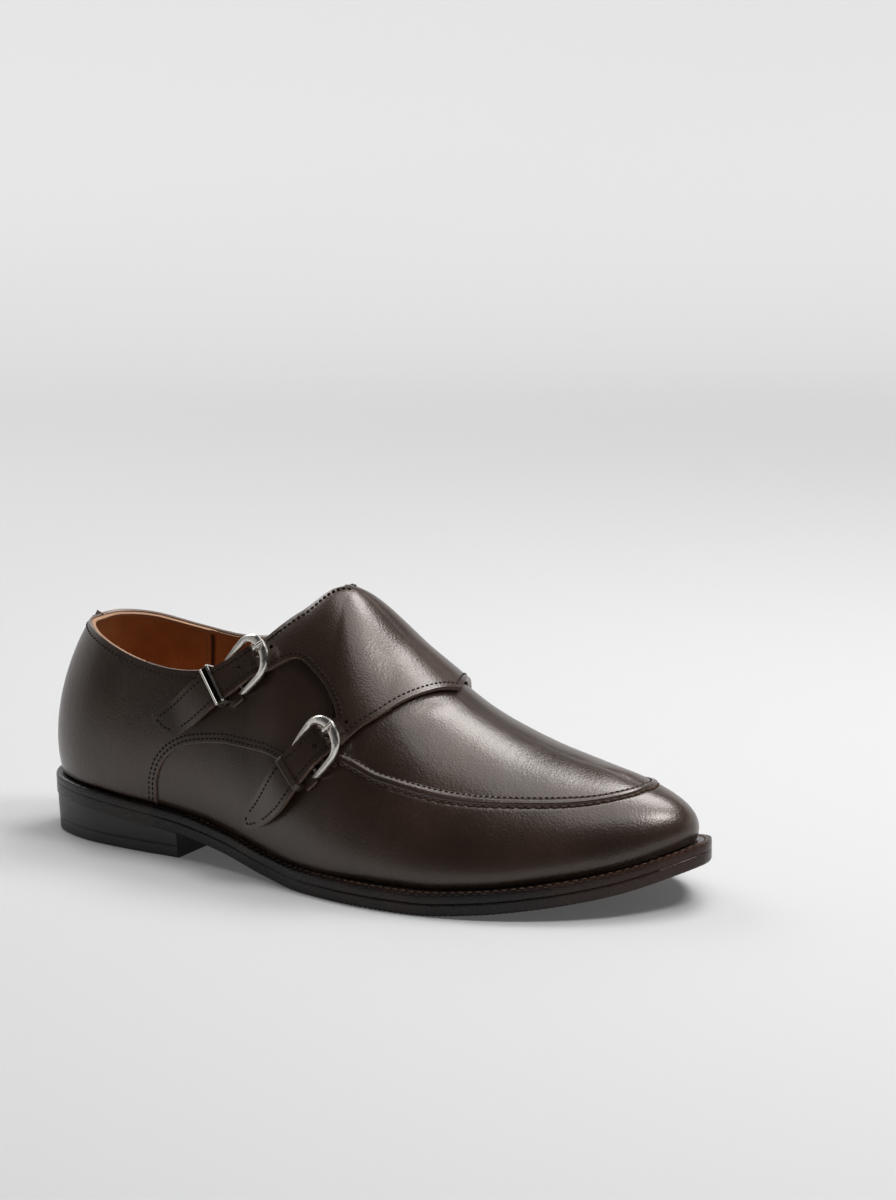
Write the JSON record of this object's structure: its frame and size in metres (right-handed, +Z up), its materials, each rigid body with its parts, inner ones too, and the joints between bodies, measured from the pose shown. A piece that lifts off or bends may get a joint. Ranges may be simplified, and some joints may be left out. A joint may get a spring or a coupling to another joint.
{
  "type": "monk strap shoe",
  "caption": "Right monk strap dress shoe with buckled straps over the instep, apron toe, welted leather sole and stacked heel.",
  "frame": {"origin": "centre of the foot print, on the floor under the sole", "axes": "+X from heel to toe, -Y to the outer side, +Z up"},
  "size_m": [0.302, 0.1078, 0.1132],
  "materials": {
    "upper_leather": "smooth dark brown calf, semi-gloss, fine creases",
    "lining_leather": "matt orange-tan lining leather",
    "sole_edge": "inked and waxed sole edge, satin near-black brown",
    "heel_leather": "stacked leather lifts, blackened and waxed, satin",
    "heel_rubber": "matt black top lift",
    "buckle_metal": "polished nickel-plated buckles"
  },
  "bodies": {
    "root": {"outsole": "sole_edge", "welt": "sole_edge", "heel_stack": "heel_leather", "top_lift": "heel_rubber", "insole": "lining_leather", "upper": "upper_leather", "instep_flap": "upper_leather", "buckle_frame_upper": "buckle_metal", "buckle_frame_lower": "buckle_metal", "buckle_prong_upper": "buckle_metal", "buckle_prong_lower": "buckle_metal", "buckle_tab_upper": "upper_leather", "buckle_tab_lower": "upper_leather", "keeper_upper": "buckle_metal", "keeper_lower": "upper_leather"}
  },
  "joints": []
}
